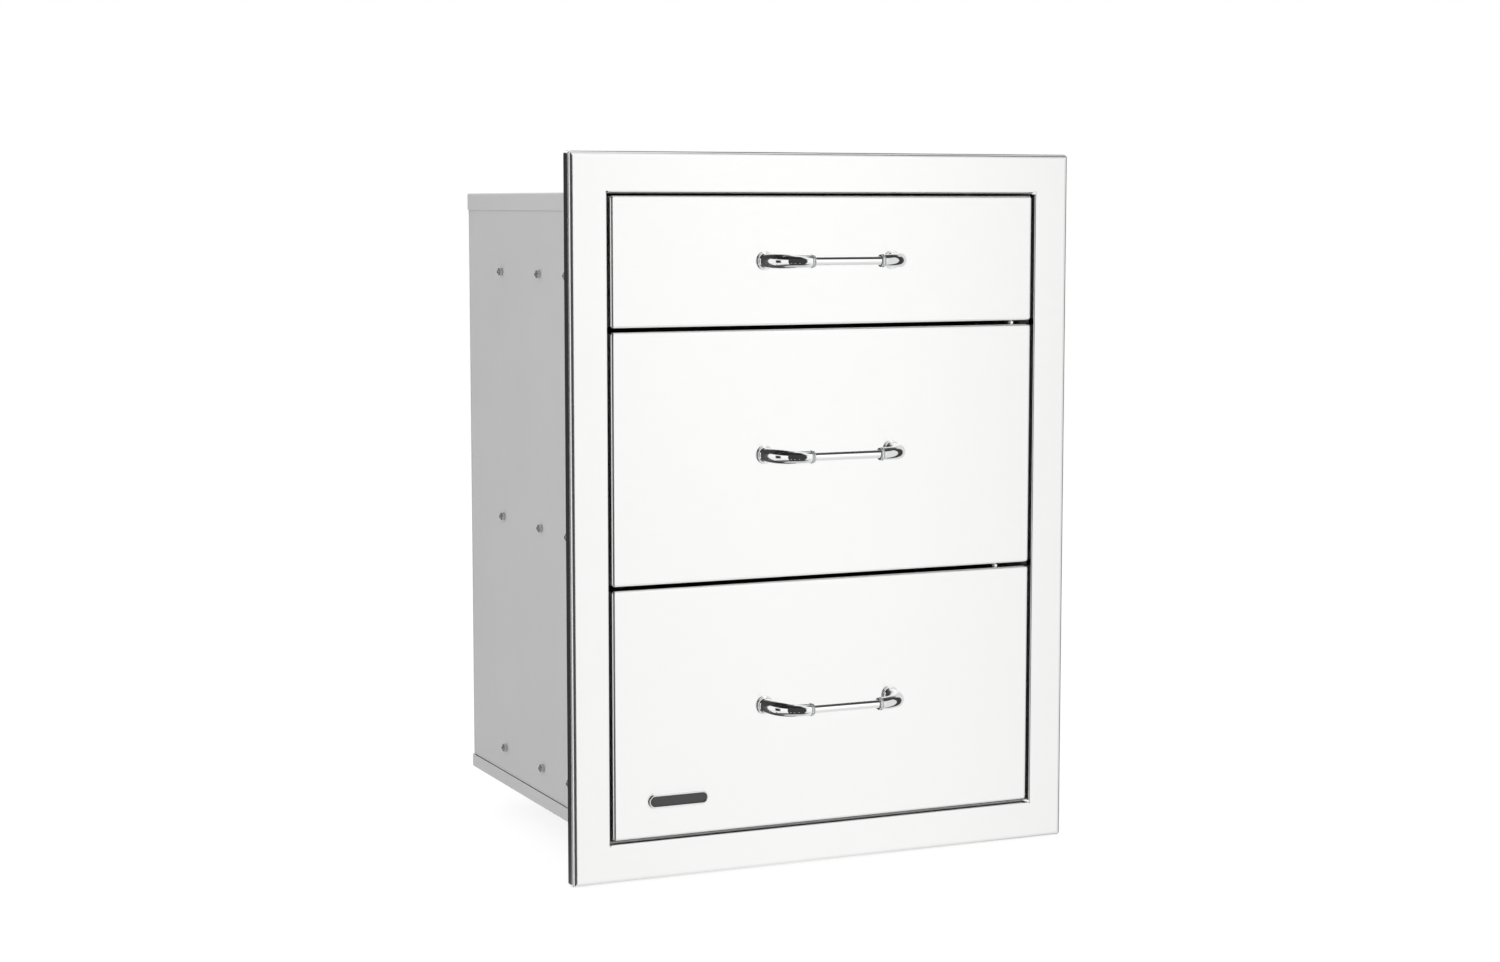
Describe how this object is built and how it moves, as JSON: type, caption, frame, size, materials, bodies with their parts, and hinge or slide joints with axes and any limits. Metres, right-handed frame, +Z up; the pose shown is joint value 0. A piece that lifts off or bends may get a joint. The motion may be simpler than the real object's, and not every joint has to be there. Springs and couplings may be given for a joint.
{
  "type": "outdoor kitchen drawer unit",
  "caption": "Built-in stainless drawer unit: a framed case let into an island cut-out, with full-extension drawers on ball-bearing slides and bow handles.",
  "frame": {"origin": "middle of the sill: on the underside of the case, in the plane where the front frame seats on the island", "axes": "+X to the right seen from the front, +Y towards the back of the island, +Z up"},
  "size_m": [0.5486, 0.4614, 0.7138],
  "materials": {
    "polished_steel": "polished stainless sheet",
    "case_steel": "plain mill-finish sheet",
    "drawer_steel": "satin stainless sheet",
    "zinc_steel": "bright zinc plating",
    "cage_steel": "bright rolled steel with polished balls",
    "chrome": "mirror chrome plating"
  },
  "bodies": {
    "cabinet": {"front_frame": "polished_steel", "top_panel": "case_steel", "bottom_pan": "case_steel", "back_panel": "case_steel", "side_panel_left": "case_steel", "side_panel_right": "case_steel", "slide_outer_top_left": "zinc_steel", "slide_outer_top_right": "zinc_steel", "slide_outer_middle_left": "zinc_steel", "slide_outer_middle_right": "zinc_steel", "slide_outer_bottom_left": "zinc_steel", "slide_outer_bottom_right": "zinc_steel"},
    "drawer_top": {"front_skin_top": "polished_steel", "front_liner_top": "drawer_steel", "drawer_box_top": "drawer_steel", "handle_bar_top": "chrome", "handle_post_top_left": "chrome", "handle_post_top_right": "chrome", "handle_screw_top_left": "zinc_steel", "handle_screw_top_right": "zinc_steel", "slide_inner_top_left": "zinc_steel", "slide_inner_top_right": "zinc_steel"},
    "drawer_middle": {"front_skin_middle": "polished_steel", "front_liner_middle": "drawer_steel", "drawer_box_middle": "drawer_steel", "handle_bar_middle": "chrome", "handle_post_middle_left": "chrome", "handle_post_middle_right": "chrome", "handle_screw_middle_left": "zinc_steel", "handle_screw_middle_right": "zinc_steel", "slide_inner_middle_left": "zinc_steel", "slide_inner_middle_right": "zinc_steel"},
    "drawer_bottom": {"front_skin_bottom": "polished_steel", "front_liner_bottom": "drawer_steel", "drawer_box_bottom": "drawer_steel", "handle_bar_bottom": "chrome", "handle_post_bottom_left": "chrome", "handle_post_bottom_right": "chrome", "handle_screw_bottom_left": "zinc_steel", "handle_screw_bottom_right": "zinc_steel", "slide_inner_bottom_left": "zinc_steel", "slide_inner_bottom_right": "zinc_steel"},
    "slide_centres_top": {"slide_centre_top_left": "zinc_steel", "slide_centre_top_right": "zinc_steel"},
    "slide_centres_middle": {"slide_centre_middle_left": "zinc_steel", "slide_centre_middle_right": "zinc_steel"},
    "slide_centres_bottom": {"slide_centre_bottom_left": "zinc_steel", "slide_centre_bottom_right": "zinc_steel"},
    "outer_cages_top": {"ball_cage_outer_top_left": "cage_steel", "ball_cage_outer_top_right": "cage_steel"},
    "outer_cages_middle": {"ball_cage_outer_middle_left": "cage_steel", "ball_cage_outer_middle_right": "cage_steel"},
    "outer_cages_bottom": {"ball_cage_outer_bottom_left": "cage_steel", "ball_cage_outer_bottom_right": "cage_steel"},
    "inner_cages_top": {"ball_cage_inner_top_left": "cage_steel", "ball_cage_inner_top_right": "cage_steel"},
    "inner_cages_middle": {"ball_cage_inner_middle_left": "cage_steel", "ball_cage_inner_middle_right": "cage_steel"},
    "inner_cages_bottom": {"ball_cage_inner_bottom_left": "cage_steel", "ball_cage_inner_bottom_right": "cage_steel"}
  },
  "joints": [
    {"name": "top_drawer_slide", "type": "slide", "parent": "cabinet", "child": "drawer_top", "axis": [0, -1, 0], "range_m": [0, 0.35]},
    {"name": "middle_drawer_slide", "type": "slide", "parent": "cabinet", "child": "drawer_middle", "axis": [0, -1, 0], "range_m": [0, 0.35]},
    {"name": "bottom_drawer_slide", "type": "slide", "parent": "cabinet", "child": "drawer_bottom", "axis": [0, -1, 0], "range_m": [0, 0.35]},
    {"name": "top_centres_slide", "type": "slide", "parent": "cabinet", "child": "slide_centres_top", "axis": [0, -1, 0], "range_m": [0, 0.175]},
    {"name": "middle_centres_slide", "type": "slide", "parent": "cabinet", "child": "slide_centres_middle", "axis": [0, -1, 0], "range_m": [0, 0.175]},
    {"name": "bottom_centres_slide", "type": "slide", "parent": "cabinet", "child": "slide_centres_bottom", "axis": [0, -1, 0], "range_m": [0, 0.175]},
    {"name": "top_outer_cages_roll", "type": "slide", "parent": "cabinet", "child": "outer_cages_top", "axis": [0, -1, 0], "range_m": [0, 0.0875]},
    {"name": "middle_outer_cages_roll", "type": "slide", "parent": "cabinet", "child": "outer_cages_middle", "axis": [0, -1, 0], "range_m": [0, 0.0875]},
    {"name": "bottom_outer_cages_roll", "type": "slide", "parent": "cabinet", "child": "outer_cages_bottom", "axis": [0, -1, 0], "range_m": [0, 0.0875]},
    {"name": "top_inner_cages_roll", "type": "slide", "parent": "cabinet", "child": "inner_cages_top", "axis": [0, -1, 0], "range_m": [0, 0.2625]},
    {"name": "middle_inner_cages_roll", "type": "slide", "parent": "cabinet", "child": "inner_cages_middle", "axis": [0, -1, 0], "range_m": [0, 0.2625]},
    {"name": "bottom_inner_cages_roll", "type": "slide", "parent": "cabinet", "child": "inner_cages_bottom", "axis": [0, -1, 0], "range_m": [0, 0.2625]}
  ],
  "couplings": [
    {"joint": "top_centres_slide", "follows": "top_drawer_slide", "ratio": 0.5},
    {"joint": "middle_centres_slide", "follows": "middle_drawer_slide", "ratio": 0.5},
    {"joint": "bottom_centres_slide", "follows": "bottom_drawer_slide", "ratio": 0.5},
    {"joint": "top_outer_cages_roll", "follows": "top_drawer_slide", "ratio": 0.25},
    {"joint": "middle_outer_cages_roll", "follows": "middle_drawer_slide", "ratio": 0.25},
    {"joint": "bottom_outer_cages_roll", "follows": "bottom_drawer_slide", "ratio": 0.25},
    {"joint": "top_inner_cages_roll", "follows": "top_drawer_slide", "ratio": 0.75},
    {"joint": "middle_inner_cages_roll", "follows": "middle_drawer_slide", "ratio": 0.75},
    {"joint": "bottom_inner_cages_roll", "follows": "bottom_drawer_slide", "ratio": 0.75}
  ]
}
